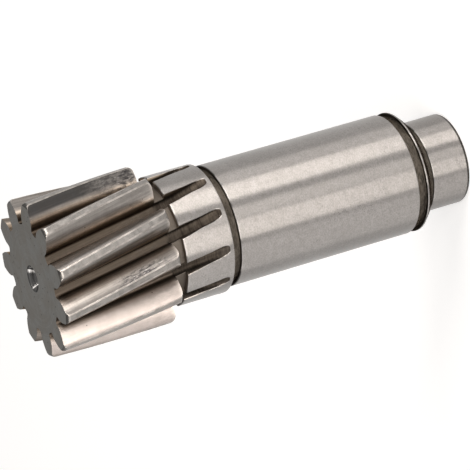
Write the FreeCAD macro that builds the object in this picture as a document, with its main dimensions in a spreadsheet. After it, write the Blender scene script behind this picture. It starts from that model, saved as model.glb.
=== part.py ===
import FreeCAD, Part

import math
import os

import Sketcher
from FreeCAD import Vector

# One solid pinion shaft. The origin is the centre of the spigot's end face, and +Z runs along
# the axis to the gear's end face, so the shaft stands on its spigot with the gear on top.

# Driving sizes in millimetres and degrees. The lengths follow each other upwards from the
# spigot's end face, and every height on the shaft is the sum of the ones below it.
SIZES = {
    "spigot_diameter": 12.0,
    "spigot_length": 5.4,
    "undercut_width": 1.2,
    "undercut_depth": 0.25,
    "end_chamfer": 0.65,
    "end_lip_width": 0.2,
    "ring_groove_width": 1.2,
    "ring_groove_depth": 0.5,
    "journal_diameter": 16.0,
    "journal_length": 25.8,
    "collar_step": 0.5,
    "collar_length": 6.6,
    "neck_depth": 0.7,
    "neck_width": 1.45,
    "tip_diameter": 20.6,
    "root_diameter": 14.2,
    "gear_width": 16.0,
    "tooth_count": 11,
    "normal_module": 1.5,
    "pressure_angle": 20.0,
    "helix_angle": 10.5,
    "tooth_thickness": 3.0,
    "root_fillet": 0.4,
    "tip_edge_depth": 0.45,
    "tip_edge_slant": 37.0,
    "tip_end_chamfer": 0.45,
    "cutter_radius": 21.5,
    "edge_break": 0.12,
    "spigot_end_chamfer": 0.3,
    "centre_mouth_diameter": 3.4,
    "centre_drill_diameter": 1.6,
    "centre_drill_depth": 3.6,
    "centre_cone_angle": 60.0,
    "centre_point_angle": 118.0,
}

# Heights of the shoulders, each as an expression on the sizes.
SPIGOT_TOP = "Sizes.spigot_length"
CHAMFER_FOOT = SPIGOT_TOP + " + Sizes.undercut_width"
LIP_FOOT = CHAMFER_FOOT + " + Sizes.end_chamfer"
LOW_GROOVE = LIP_FOOT + " + Sizes.end_lip_width"
JOURNAL_FOOT = LOW_GROOVE + " + Sizes.ring_groove_width"
JOURNAL_TOP = JOURNAL_FOOT + " + Sizes.journal_length"
COLLAR_FOOT = JOURNAL_TOP + " + Sizes.ring_groove_width"
COLLAR_TOP = COLLAR_FOOT + " + Sizes.collar_length"
GEAR_FOOT = COLLAR_TOP + " + Sizes.neck_width"
GEAR_TOP = GEAR_FOOT + " + Sizes.gear_width"

# Radii of the turned steps.
SPIGOT_R = "Sizes.spigot_diameter / 2"
UNDERCUT_R = SPIGOT_R + " - Sizes.undercut_depth"
JOURNAL_R = "Sizes.journal_diameter / 2"
CHAMFER_R = JOURNAL_R + " - Sizes.end_chamfer"
GROOVE_R = JOURNAL_R + " - Sizes.ring_groove_depth"
COLLAR_R = JOURNAL_R + " + Sizes.collar_step"
NECK_R = COLLAR_R + " - Sizes.neck_depth"
TIP_R = "Sizes.tip_diameter / 2"

# How finely the tooth space is worked out: flat-sided steps down the helix and down the run-out.
# At these counts no step leaves the true surface by more than 0.02 mm.
HELIX_STEPS = 4
PLUNGE_STEPS = 5
CUT_CLEARANCE = 0.8
CHAMFER_OVERRUN = 0.1


def make_sheet(doc):
    """The spreadsheet that holds one alias for each driving size."""
    sheet = doc.addObject("Spreadsheet::Sheet", "Sizes")
    for row, (word, value) in enumerate(SIZES.items(), start=1):
        sheet.set(f"A{row}", word)
        sheet.set(f"B{row}", str(value))
        sheet.setAlias(f"B{row}", word)
    doc.recompute()
    return sheet


def origin_feature(body, role):
    """A plane or axis of the body's own origin, found by its role."""
    return next(item for item in body.Origin.OriginFeatures if item.Role == role)


def add_outline(body, name, corners):
    """A closed outline in the XZ plane: each corner is a pair of radius and height expressions.

    A radius of None puts the corner on the axis.
    """
    sketch = body.newObject("Sketcher::SketchObject", name)
    sketch.AttachmentSupport = (origin_feature(body, "XZ_Plane"), "")
    sketch.MapMode = "FlatFace"
    count = len(corners)
    guesses = [Vector(5.0 + index % 2, float(index), 0) for index in range(count)]
    for index in range(count):
        sketch.addGeometry(Part.LineSegment(guesses[index], guesses[(index + 1) % count]))
    for index in range(count):
        sketch.addConstraint(Sketcher.Constraint("Coincident", index, 2, (index + 1) % count, 1))
    for index, (radius, height) in enumerate(corners):
        guess = guesses[index]
        if radius is None:
            sketch.addConstraint(Sketcher.Constraint("PointOnObject", index, 1, -2))
        else:
            across = sketch.addConstraint(Sketcher.Constraint("DistanceX", -1, 1, index, 1, guess.x))
            sketch.setExpression(f"Constraints[{across}]", radius)
        if height is None:
            sketch.addConstraint(Sketcher.Constraint("PointOnObject", index, 1, -1))
        else:
            along = sketch.addConstraint(Sketcher.Constraint("DistanceY", -1, 1, index, 1, guess.y))
            sketch.setExpression(f"Constraints[{along}]", height)
    return sketch


def circle_names(shape, wanted):
    """Names of the circular edges whose radius and height match one of the wanted pairs."""
    names = []
    for index, edge in enumerate(shape.Edges, start=1):
        if not isinstance(edge.Curve, Part.Circle):
            continue
        centre = edge.Curve.Center
        for radius, height in wanted:
            if abs(edge.Curve.Radius - radius) < 1e-4 and abs(centre.z - height) < 1e-4:
                names.append(f"Edge{index}")
    return names


def shoulder_heights(sheet):
    """The same heights as numbers, for picking edges and for placing the tooth spaces."""
    spigot_top = sheet.spigot_length
    lip_foot = spigot_top + sheet.undercut_width + sheet.end_chamfer
    journal_foot = lip_foot + sheet.end_lip_width + sheet.ring_groove_width
    journal_top = journal_foot + sheet.journal_length
    collar_foot = journal_top + sheet.ring_groove_width
    collar_top = collar_foot + sheet.collar_length
    gear_foot = collar_top + sheet.neck_width
    gear_top = gear_foot + sheet.gear_width
    return {
        "spigot_top": spigot_top,
        "journal_foot": journal_foot,
        "journal_top": journal_top,
        "collar_foot": collar_foot,
        "collar_top": collar_top,
        "gear_foot": gear_foot,
        "gear_top": gear_top,
    }


def make_blank(doc, sheet):
    """The turned blank: spigot, undercut, journal between two ring grooves, collar, neck and gear blank."""
    body = doc.addObject("PartDesign::Body", "Blank")
    corners = [
        (None, None),
        (SPIGOT_R, None),
        (SPIGOT_R, SPIGOT_TOP),
        (UNDERCUT_R, SPIGOT_TOP),
        (UNDERCUT_R, CHAMFER_FOOT),
        (CHAMFER_R, CHAMFER_FOOT),
        (JOURNAL_R, LIP_FOOT),
        (JOURNAL_R, LOW_GROOVE),
        (GROOVE_R, LOW_GROOVE),
        (GROOVE_R, JOURNAL_FOOT),
        (JOURNAL_R, JOURNAL_FOOT),
        (JOURNAL_R, JOURNAL_TOP),
        (GROOVE_R, JOURNAL_TOP),
        (GROOVE_R, COLLAR_FOOT),
        (COLLAR_R, COLLAR_FOOT),
        (COLLAR_R, COLLAR_TOP),
        (NECK_R, COLLAR_TOP),
        (NECK_R, GEAR_FOOT),
        (TIP_R, GEAR_FOOT),
        (TIP_R, GEAR_TOP),
        (None, GEAR_TOP),
    ]
    outline = add_outline(body, "TurnedOutline", corners)
    turned = body.newObject("PartDesign::Revolution", "TurnedBlank")
    turned.Profile = outline
    turned.ReferenceAxis = (outline, ["V_Axis"])
    turned.Angle = 360
    doc.recompute()

    heights = shoulder_heights(sheet)
    journal_r = sheet.journal_diameter / 2
    collar_r = journal_r + sheet.collar_step
    breaks = body.newObject("PartDesign::Chamfer", "EdgeBreaks")
    breaks.Base = (turned, circle_names(turned.Shape, [
        (sheet.spigot_diameter / 2, heights["spigot_top"]),
        (journal_r, heights["journal_foot"]),
        (journal_r, heights["journal_top"]),
        (collar_r, heights["collar_foot"]),
        (collar_r, heights["collar_top"]),
    ]))
    breaks.setExpression("Size", "Sizes.edge_break")
    doc.recompute()

    tip_r = sheet.tip_diameter / 2
    tip_ends = body.newObject("PartDesign::Chamfer", "TipEndChamfers")
    tip_ends.Base = (breaks, circle_names(breaks.Shape, [
        (tip_r, heights["gear_foot"]),
        (tip_r, heights["gear_top"]),
    ]))
    tip_ends.setExpression("Size", "Sizes.tip_end_chamfer")
    doc.recompute()

    spigot_edge = body.newObject("PartDesign::Chamfer", "SpigotEndChamfer")
    spigot_edge.Base = (tip_ends, circle_names(tip_ends.Shape, [(sheet.spigot_diameter / 2, 0.0)]))
    spigot_edge.setExpression("Size", "Sizes.spigot_end_chamfer")
    doc.recompute()

    add_centre_hole(doc, body, "Gear", GEAR_TOP, "-")
    add_centre_hole(doc, body, "Spigot", None, "+")
    return body


def add_centre_hole(doc, body, end, face, inward):
    """A 60 degree centre with its pilot drilling, turned out of one end of the shaft.

    face is the height of the end face, None for the origin's, and inward is the sign of the way in.
    """
    base = face or "0"
    mouth_r = "Sizes.centre_mouth_diameter / 2"
    pilot_r = "Sizes.centre_drill_diameter / 2"
    cone = f"({mouth_r} - {pilot_r}) / tan(Sizes.centre_cone_angle * 0.5 deg)"
    point = f"({pilot_r}) / tan(Sizes.centre_point_angle * 0.5 deg)"
    corners = [
        (None, face),
        (mouth_r, face),
        (pilot_r, f"{base} {inward} {cone}"),
        (pilot_r, f"{base} {inward} Sizes.centre_drill_depth"),
        (None, f"{base} {inward} (Sizes.centre_drill_depth + {point})"),
    ]
    before = body.Shape.Volume
    outline = add_outline(body, f"{end}CentreOutline", corners)
    hole = body.newObject("PartDesign::Groove", f"{end}Centre")
    hole.Profile = outline
    hole.ReferenceAxis = (outline, ["V_Axis"])
    hole.Angle = 360
    doc.recompute()
    if not body.Shape.Volume < before:
        raise RuntimeError(f"the centre at the {end} end cuts nothing")


def involute(angle):
    """The involute function of an angle in radians."""
    return math.tan(angle) - angle


class ToothSpace:
    """The metal that the cutter takes out between two teeth, worked out from the driving sizes."""

    def __init__(self, sheet, heights):
        self.helix = math.radians(sheet.helix_angle)
        self.tooth_count = int(sheet.tooth_count)
        self.reference_r = self.tooth_count * sheet.normal_module / (2 * math.cos(self.helix))
        pressure_angle = math.radians(sheet.pressure_angle)
        self.transverse_angle = math.atan(math.tan(pressure_angle) / math.cos(self.helix))
        self.base_r = self.reference_r * math.cos(self.transverse_angle)
        self.half_thickness = sheet.tooth_thickness / (2 * math.cos(self.helix) * self.reference_r)
        self.root_r = sheet.root_diameter / 2
        self.tip_r = sheet.tip_diameter / 2
        self.collar_r = sheet.journal_diameter / 2 + sheet.collar_step
        self.root_fillet = sheet.root_fillet
        self.tip_edge_depth = sheet.tip_edge_depth
        self.tip_edge_slant = math.radians(sheet.tip_edge_slant)
        self.cutter_r = sheet.cutter_radius
        self.gear_top = heights["gear_top"]
        self.plunge_height = heights["gear_foot"]

    def half_angle(self, radius):
        """Half the angle between the two flanks at a radius on or above the base circle."""
        pressure = math.acos(self.base_r / radius)
        tooth = self.half_thickness + involute(self.transverse_angle) - involute(pressure)
        return math.pi / self.tooth_count - tooth

    def fillet_run(self):
        """From the floor, round the fillet, to the foot of the wall, as (half width, height)."""
        wall = self.base_r * math.sin(self.half_angle(self.base_r))
        diagonal = self.root_fillet * math.sqrt(0.5)
        return [
            (wall - self.root_fillet, self.root_r),
            (wall - self.root_fillet + diagonal, self.root_r + self.root_fillet - diagonal),
            (wall, self.root_r + self.root_fillet),
        ]

    def flank_run(self):
        """Three points of the involute, from the base circle to the chamfer along the tip."""
        top_r = self.tip_r - self.tip_edge_depth
        points = []
        for share in (0.0, 0.45, 1.0):
            radius = self.base_r + (top_r - self.base_r) * share
            angle = self.half_angle(radius)
            points.append((radius * math.sin(angle), radius * math.cos(angle)))
        return points

    def edge_run(self):
        """The chamfer along the tip: from the flank's end, slanting out until it is past the tip circle."""
        start = self.flank_run()[-1]
        place = math.atan2(start[0], start[1])
        rise = self.tip_edge_depth + CHAMFER_OVERRUN
        across = rise / math.tan(self.tip_edge_slant)
        end = (
            start[0] + across * math.cos(place) + rise * math.sin(place),
            start[1] - across * math.sin(place) + rise * math.cos(place),
        )
        return [start, end]

    def placed(self, point, mirror, height):
        """A profile point set at a height on the shaft.

        Below the plunge height the cutter's round rim leaves the metal: a point at depth y in the
        rim, at a distance s past the deepest cut, stands at root + R - sqrt((R - y)^2 - s^2).
        """
        half_width, level = point
        radius = math.hypot(half_width, level)
        angle = math.atan2(half_width, level)
        past = max(0.0, self.plunge_height - height) / math.cos(self.helix)
        if past > 0:
            rim = self.cutter_r - (radius - self.root_r)
            lifted = self.root_r + self.cutter_r - math.sqrt(rim ** 2 - past ** 2)
            angle *= radius / lifted
            radius = lifted
        turn = (self.gear_top - height) * math.tan(self.helix) / self.reference_r
        azimuth = math.pi / self.tooth_count + turn + mirror * angle
        return Vector(radius * math.cos(azimuth), radius * math.sin(azimuth), height)

    def section(self, height):
        """The closed outline of the space at one height, round from the floor's left end."""
        fillet, flank, edge = self.fillet_run(), self.flank_run(), self.edge_run()
        mouth = (edge[-1][0], edge[-1][1] + CUT_CLEARANCE)

        def arc(run, mirror):
            return Part.Arc(*[self.placed(point, mirror, height) for point in run]).toShape()

        def line(start, start_mirror, end, end_mirror):
            ends = self.placed(start, start_mirror, height), self.placed(end, end_mirror, height)
            return Part.LineSegment(*ends).toShape()

        return Part.Wire([
            line(fillet[0], -1, fillet[0], 1),
            arc(fillet, 1),
            line(fillet[-1], 1, flank[0], 1),
            arc(flank, 1),
            line(edge[0], 1, edge[-1], 1),
            line(edge[-1], 1, mouth, 1),
            line(mouth, 1, mouth, -1),
            line(mouth, -1, edge[-1], -1),
            line(edge[-1], -1, edge[0], -1),
            arc(flank[::-1], -1),
            line(flank[0], -1, fillet[-1], -1),
            arc(fillet[::-1], -1),
        ])

    def heights(self):
        """Heights of the sections: evenly down the helix, then evenly down the run-out."""
        top = self.gear_top + CUT_CLEARANCE
        rise = self.collar_r - self.root_r + CUT_CLEARANCE / 2
        run_out = math.sqrt(self.cutter_r ** 2 - (self.cutter_r - rise) ** 2) * math.cos(self.helix)
        helix = [top + (self.plunge_height - top) * i / HELIX_STEPS for i in range(HELIX_STEPS)]
        plunge = [self.plunge_height - run_out * i / PLUNGE_STEPS for i in range(PLUNGE_STEPS + 1)]
        return helix + plunge

    def solid(self):
        """The whole cut as one ruled loft through its sections."""
        return Part.makeLoft([self.section(height) for height in self.heights()], True, True)


def make_tooth_spaces(doc, sheet):
    """All the spaces, turned round the axis from one another by the pitch."""
    one = ToothSpace(sheet, shoulder_heights(sheet))
    cut = one.solid()
    pitch = 360.0 / one.tooth_count
    spaces = doc.addObject("Part::Feature", "ToothSpaces")
    spaces.Shape = Part.makeCompound([
        cut.rotated(Vector(0, 0, 0), Vector(0, 0, 1), pitch * index) for index in range(one.tooth_count)
    ])
    return spaces


def check(doc, parts):
    """Stop if any object failed, or if a part is not one valid solid."""
    for item in doc.Objects:
        bad = [word for word in item.State if word in ("Invalid", "Error")]
        if bad:
            raise RuntimeError(f"{item.Name} is {bad}")
    for part in parts:
        shape = part.Shape
        if shape.isNull() or not shape.isValid() or len(shape.Solids) != 1:
            raise RuntimeError(f"{part.Label} is not one valid solid")


def main():
    doc = FreeCAD.newDocument("PinionShaft")
    sheet = make_sheet(doc)
    blank = make_blank(doc, sheet)
    spaces = make_tooth_spaces(doc, sheet)

    shaft = doc.addObject("Part::Cut", "PinionShaft")
    shaft.Base = blank
    shaft.Tool = spaces
    shaft.Label = "pinion_shaft"
    doc.recompute()

    check(doc, [shaft])
    os.makedirs("parts", exist_ok=True)
    shaft.Shape.exportStep(f"parts/{shaft.Label}.step")


main()
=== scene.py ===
import math

import bpy
import numpy as np
from mathutils import Matrix


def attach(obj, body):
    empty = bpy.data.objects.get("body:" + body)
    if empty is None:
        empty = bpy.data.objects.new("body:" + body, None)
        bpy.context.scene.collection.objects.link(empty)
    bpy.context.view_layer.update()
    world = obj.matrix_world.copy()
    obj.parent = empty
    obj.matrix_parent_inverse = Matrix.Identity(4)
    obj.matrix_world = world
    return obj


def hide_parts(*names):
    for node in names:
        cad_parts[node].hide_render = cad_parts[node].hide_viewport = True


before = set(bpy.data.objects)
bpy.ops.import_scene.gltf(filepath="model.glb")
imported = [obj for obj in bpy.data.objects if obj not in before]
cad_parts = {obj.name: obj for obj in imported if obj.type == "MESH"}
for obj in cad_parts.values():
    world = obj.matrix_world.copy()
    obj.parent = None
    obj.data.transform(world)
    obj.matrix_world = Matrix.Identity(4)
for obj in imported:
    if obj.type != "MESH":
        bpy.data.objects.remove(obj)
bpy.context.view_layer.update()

# The looks of a helical pinion shaft, in the CAD's frame: the shaft stands on its spigot at the
# origin and its axis is +Z. Sizes are in millimetres, as the maker's drawing has them, and MM
# turns them into metres when the mesh is made.
MM = 0.001

# Turned sizes, from the spigot's end face upwards.
SPIGOT_R = 6.0
UNDERCUT_R = 5.75
CHAMFER_R = 7.35
JOURNAL_R = 8.0
GROOVE_R = 7.5
COLLAR_R = 8.5
NECK_R = 7.8
TIP_R = 10.3
SPIGOT_TOP = 5.4
CHAMFER_FOOT = 6.6
LIP_FOOT = 7.25
LOW_GROOVE = 7.45
JOURNAL_FOOT = 8.65
JOURNAL_TOP = 34.45
COLLAR_FOOT = 35.65
COLLAR_TOP = 42.25
GEAR_FOOT = 43.7
GEAR_TOP = 59.7

# Centres drilled in both ends: a 60 degree cone, and a pilot hole that ends in a 118 degree point.
MOUTH_R = 1.7
DRILL_R = 0.8
CONE_DEPTH = (MOUTH_R - DRILL_R) / math.tan(math.radians(30))
DRILL_DEPTH = 3.6
DRILL_POINT = DRILL_DEPTH + DRILL_R / math.tan(math.radians(59))

# Edges as the turner and the deburring leave them.
SPIGOT_EDGE = 0.34
GROUND_EDGE = 0.13
SOFT_CORNER = 0.1
UNDERCUT_CORNER = 0.06
FINE_EDGE = 0.05
CUT_EDGE = 0.05
TOOTH_END_ROUND = 0.55

# Gear sizes. The tip edge is an arc of this depth that ends at this slant, and its outline is
# carried on past the tip circle.
TEETH = 11
MODULE = 1.5
HELIX = math.radians(10.5)
PRESSURE = math.radians(20.0)
TOOTH_THICKNESS = 3.0
ROOT_R = 7.1
ROOT_FILLET = 0.4
TIP_EDGE_DEPTH = 0.45
TIP_EDGE_SLANT = math.radians(20.0)
TIP_EDGE_RUN_ON = 0.6
CUTTER_R = 21.5

REFERENCE_R = TEETH * MODULE / (2 * math.cos(HELIX))
TRANSVERSE = math.atan(math.tan(PRESSURE) / math.cos(HELIX))
BASE_R = REFERENCE_R * math.cos(TRANSVERSE)
HALF_PITCH = math.pi / TEETH
TWIST = math.tan(HELIX) / REFERENCE_R

# Faces across half a pitch: down the floor, fillet, wall, involute and tip edge of the space,
# over its broken edge, and along the land.
SPACE_STEPS = (1, 4, 1, 4, 5)
LAND_STEPS = 5
BRINK = sum(SPACE_STEPS)
HALF_FACES = BRINK + 1 + LAND_STEPS
COLUMNS = TEETH * 2 * HALF_FACES

# Rings along the shaft, and points across it. From EVEN_TOP up the points gather towards the
# tooth spaces, the rings crowd where the run-out gets shallow, and inside EVEN_FACE_R the end
# face's rings are even again. A ring stands close to each end of a long run, an arc has a point
# at each ARC_STEP or so, and an outline that turns by more than SHARP_TURN is sharp there. No cut
# is taken narrower than LEAST_CUT, and slopes are measured over NUDGE.
EVEN_TOP = COLLAR_FOOT + 0.2
GATHERING_RINGS = 11
RUN_OUT_RINGS = 46
RUN_OUT_CROWDING = 1.8
TOOTH_RINGS = 14
EVEN_FACE_R = 6.5
TURNED_END_RING = 0.04
TOOTH_END_RING = 0.05
LONG_RUN = 0.5
ARC_STEP = math.radians(22.5)
SHARP_TURN = math.radians(24)
LEAST_CUT = 0.02
NUDGE = 1e-3

# Finishes, numbered as the shaft's materials are.
GROUND, TURNED, NEAR_FLANK, TIP, FACED, CENTRE, FAR_FLANK, EDGE = range(8)

# Colours of the tooth flanks by radius, from the floor of the space to the tip: the steel's own
# colour with painted shade, darker towards the floor, and painted highlight, lighter up the
# flank and brightest in the far flank's band at 8.55. Seen from the gear's end, the near flank
# is the clockwise wall of each space and the far flank the other.
NEAR_FLANK_STEEL_AND_PAINTED_LIGHT = (
    (7.1, (0.085, 0.068, 0.054)),
    (7.6, (0.11, 0.09, 0.073)),
    (8.3, (0.28, 0.24, 0.21)),
    (9.1, (0.30, 0.272, 0.25)),
    (9.8, (0.21, 0.197, 0.187)),
)
FAR_FLANK_STEEL_AND_PAINTED_LIGHT = (
    (7.1, (0.10, 0.08, 0.062)),
    (7.7, (0.19, 0.15, 0.115)),
    (8.2, (0.42, 0.335, 0.255)),
    # Painted highlight: a bright peach band low on the far flank.
    (8.55, (0.95, 0.80, 0.66)),
    (8.8, (0.46, 0.405, 0.36)),
    (9.2, (0.29, 0.268, 0.25)),
    (9.95, (0.28, 0.262, 0.245)),
)
LINE_DARK = (0.02, 0.016, 0.012)
CUT_DARK = (0.014, 0.011, 0.009)
CUT_LIGHT = (0.06, 0.05, 0.041)
# Painted highlight along the run-out's brink at the collar's surface.
BRINK_PAINTED_HIGHLIGHT = (0.60, 0.55, 0.50)
RUN_BRIGHT = (0.33, 0.293, 0.272)
LAND_RUN_BRIGHT = (0.31, 0.287, 0.27)
# Painted dark reflection on the burred tooth.
PAINTED_DARK_REFLECTION = (0.03, 0.03, 0.031)
SCUFF_DARK = (0.03, 0.028, 0.03)
SCUFF_LIGHT = (0.62, 0.60, 0.58)
SPECK = (0.06, 0.05, 0.045)

# Heights between which the dull run-out gives way to the clean flank.
RUN_OUT_FADE = (GEAR_FOOT - 0.4, GEAR_FOOT + 0.6)

# Places across the helix, with the twist taken out: the tooth edge that is rubbed and its run
# along the shaft, the direction of the teeth run bright, and that of the burred tooth, which
# also carries a painted dark reflection.
RUBBED_ACROSS = (6.63, -7.62, 0.0)
RUBBED_RUN = (44.6, 46.0, 51.0, 53.5)
RUN_BRIGHT_WAY = (-0.174, -0.985, 0.0)
BURRED_WAY = (0.736, 0.677, 0.0)

# Light. The panels stand where the journal's ground finish mirrors them as its bands. Each has
# its azimuth and elevation in degrees, its distance from the shaft's middle, width and height in
# metres, its radiance and its colour.
FLOOR_GLOW = 0.42
FLOOR_HALF = 6.0
WORLD_LIGHT = 0.24
SHAFT_MIDDLE = 30.0
PANELS = {
    "key_panel": (-43, 14, 0.9, 0.50, 0.5, 11.2, (1.0, 0.95, 0.90)),
    "key_side_panel": (-13, 14, 0.9, 0.36, 0.5, 3.8, (1.0, 0.96, 0.93)),
    "front_panel": (-114, 14, 1.0, 0.60, 0.5, 8.8, (1.0, 0.945, 0.89)),
    "front_side_panel": (-84, 14, 1.0, 0.36, 0.5, 5.2, (1.0, 0.955, 0.91)),
    "fill_panel": (-170, 16, 1.1, 1.2, 0.6, 2.8, (1.0, 0.97, 0.95)),
}


def involute(angle):
    """Involute function: the tangent of the angle minus the angle."""
    return np.tan(angle) - angle


def flank_angle(radius):
    """Angle from the middle of a tooth space to its flank at a radius.

    Half the pitch, minus half the tooth, which is its half thickness at the reference circle
    plus the difference of the involute functions there and at the radius.
    """
    tooth = TOOTH_THICKNESS / (2 * math.cos(HELIX) * REFERENCE_R) + involute(TRANSVERSE)
    return HALF_PITCH - tooth + involute(np.arccos(np.clip(BASE_R / radius, -1, 1)))


def lengths(line):
    """Length of each step of a line of points."""
    return np.hypot(*np.diff(line, axis=0).T)


def space_outline():
    """One side of the tooth space, as half width and level above the axis.

    A flat floor, a quarter circle fillet, a straight wall up to the base circle, the involute,
    and an arc that turns from the flank's own lean to the tip edge's slant, carried straight on
    past the tip circle. It comes with its running length and the lengths where each run ends.
    """
    foot = BASE_R * math.sin(flank_angle(BASE_R)) - ROOT_FILLET
    floor = np.array([[0.0, ROOT_R], [foot, ROOT_R]])
    turn = np.linspace(0, math.pi / 2, 25)[1:]
    fillet = np.stack([foot + ROOT_FILLET * np.sin(turn), ROOT_R + ROOT_FILLET * (1 - np.cos(turn))], 1)

    flank_r = np.linspace(BASE_R, TIP_R - TIP_EDGE_DEPTH, 60)
    angle = flank_angle(flank_r)
    flank = np.stack([flank_r * np.sin(angle), flank_r * np.cos(angle)], 1)

    lean = math.pi / 2 - math.acos(BASE_R / flank_r[-1])
    edge_r = TIP_EDGE_DEPTH / (math.cos(TIP_EDGE_SLANT) - math.cos(lean))
    slant = np.linspace(lean, TIP_EDGE_SLANT, 40)[1:]
    across = edge_r * (math.sin(lean) - np.sin(slant))
    rise = edge_r * (np.cos(slant) - math.cos(lean))
    across = np.append(across, across[-1] + TIP_EDGE_RUN_ON * math.cos(TIP_EDGE_SLANT))
    rise = np.append(rise, rise[-1] + TIP_EDGE_RUN_ON * math.sin(TIP_EDGE_SLANT))
    out, side = angle[-1], flank[-1]
    edge = np.stack([
        side[0] + across * math.cos(out) + rise * math.sin(out),
        side[1] - across * math.sin(out) + rise * math.cos(out),
    ], 1)

    outline = np.concatenate([floor, fillet, flank, edge])
    run = np.append(0.0, np.cumsum(lengths(outline)))
    last_points = np.cumsum([len(floor), len(fillet), 1, len(flank) - 1, len(slant)]) - 1
    return outline, run, run[last_points]


def cut_by_the_rim(half_width, level, height):
    """Where a point of the space's outline lies on the shaft, as angle and radius.

    Above the gear's foot the cut is full depth. Below it the cutter's round rim leaves the
    metal: a point at depth y in the rim, at a distance s past the deepest cut, stands at
    root + R - sqrt((R - y)^2 - s^2), and keeps its width.
    """
    radius = np.hypot(half_width, level)
    angle = np.arctan2(half_width, level)
    past = np.maximum(0.0, GEAR_FOOT - height) / math.cos(HELIX)
    rim = CUTTER_R - (radius - ROOT_R)
    lifted = ROOT_R + CUTTER_R - np.sqrt(rim ** 2 - past ** 2)
    return angle * radius / lifted, lifted


def rounded(corners):
    """A turned outline from its corners, each a radius, a height and the size of its round.

    Each corner becomes an arc tangent to both runs: at an angle t, a point lies size * sin(t)
    along the first run and size * (1 - cos(t)) to its side. Long runs get a ring close to each
    end, so that shading stays true along them. Returns radii, heights and which points are
    sharp, where the outline turns hard.
    """
    spots = np.array([corner[:2] for corner in corners], float)
    points = [spots[:1]]
    for index in range(1, len(corners) - 1):
        before = spots[index] - spots[index - 1]
        after = spots[index + 1] - spots[index]
        before /= np.hypot(*before)
        after /= np.hypot(*after)
        size = corners[index][2]
        if size == 0:
            points.append(spots[index:index + 1])
            continue
        turn = math.atan2(before[0] * after[1] - before[1] * after[0], float(before @ after))
        back = size * math.tan(abs(turn) / 2)
        steps = max(1, round(abs(turn) / ARC_STEP))
        share = np.linspace(0, turn, steps + 1)[:, None]
        side = np.array([-before[1], before[0]]) * math.copysign(1, turn)
        start = spots[index] - before * back
        points.append(start + size * (before * np.sin(abs(share)) + side * (1 - np.cos(share))))
    line = np.concatenate(points + [spots[-1:]])

    gap = lengths(line)
    long_runs = np.flatnonzero(gap > LONG_RUN)
    inward = np.diff(line, axis=0)[long_runs] / gap[long_runs, None] * TURNED_END_RING
    extra = np.stack([line[long_runs] + inward, line[long_runs + 1] - inward], 1).reshape(-1, 2)
    line = np.insert(line, np.repeat(long_runs + 1, 2), extra, axis=0)

    way = np.diff(line, axis=0)
    bend = np.arctan2(way[:-1, 0] * way[1:, 1] - way[:-1, 1] * way[1:, 0], (way[:-1] * way[1:]).sum(1))
    sharp = np.concatenate([[False], np.abs(bend) > SHARP_TURN, [False]])
    return line[:, 0], line[:, 1], sharp


def tip_round(x):
    """Radius of the blank at a distance x from a tooth's end: tip - q + sqrt(q^2 - (q - x)^2)."""
    q = TOOTH_END_ROUND
    return TIP_R - q + np.sqrt(q ** 2 - (q - x) ** 2)


def toothed_blank():
    """Blank radius at each height from the collar up to the gear's end face.

    The collar, its top edge, the neck, and the teeth with a round at each end of the tip. The
    share by which each ring is still even goes from one to nothing where the run-out ends.
    """
    run_out = math.sqrt(CUTTER_R ** 2 - (CUTTER_R - (COLLAR_R - ROOT_R)) ** 2) * math.cos(HELIX)
    run_out_end = GEAR_FOOT - run_out
    gathering = np.linspace(EVEN_TOP, run_out_end, GATHERING_RINGS)
    shares = np.linspace(0, 1, RUN_OUT_RINGS + 1)[1:] ** RUN_OUT_CROWDING
    deepening = run_out_end + (COLLAR_TOP - GROUND_EDGE - run_out_end) * shares
    quarter = np.linspace(0, math.pi / 2, 5)[1:]
    edge_z = COLLAR_TOP - GROUND_EDGE * (1 - np.sin(quarter))
    edge_r = COLLAR_R - GROUND_EDGE * (1 - np.cos(quarter))
    neck = np.array([COLLAR_TOP, COLLAR_TOP + TOOTH_END_RING, GEAR_FOOT - TOOTH_END_RING, GEAR_FOOT])

    foot, top = GEAR_FOOT + TOOTH_END_ROUND, GEAR_TOP - TOOTH_END_ROUND
    from_foot = TOOTH_END_ROUND * (1 - np.cos(np.linspace(0, math.pi / 2, 7)))
    teeth = np.linspace(foot, top, TOOTH_RINGS + 2)[1:-1]
    teeth[[0, -1]] = foot + TOOTH_END_RING, top - TOOTH_END_RING
    from_top = np.sort(np.append(from_foot[1:], CUT_EDGE))[::-1]

    z = np.concatenate([
        gathering, deepening, edge_z, neck, GEAR_FOOT + from_foot, teeth, GEAR_TOP - from_top,
    ])
    blank = np.concatenate([
        np.full(GATHERING_RINGS + RUN_OUT_RINGS, COLLAR_R), edge_r, np.full(len(neck), NECK_R),
        tip_round(from_foot), np.full(TOOTH_RINGS, TIP_R), tip_round(from_top),
    ])
    evenness = np.zeros(len(z))
    evenness[:GATHERING_RINGS] = np.linspace(1, 0, GATHERING_RINGS)
    return z, blank, evenness, run_out_end


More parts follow.
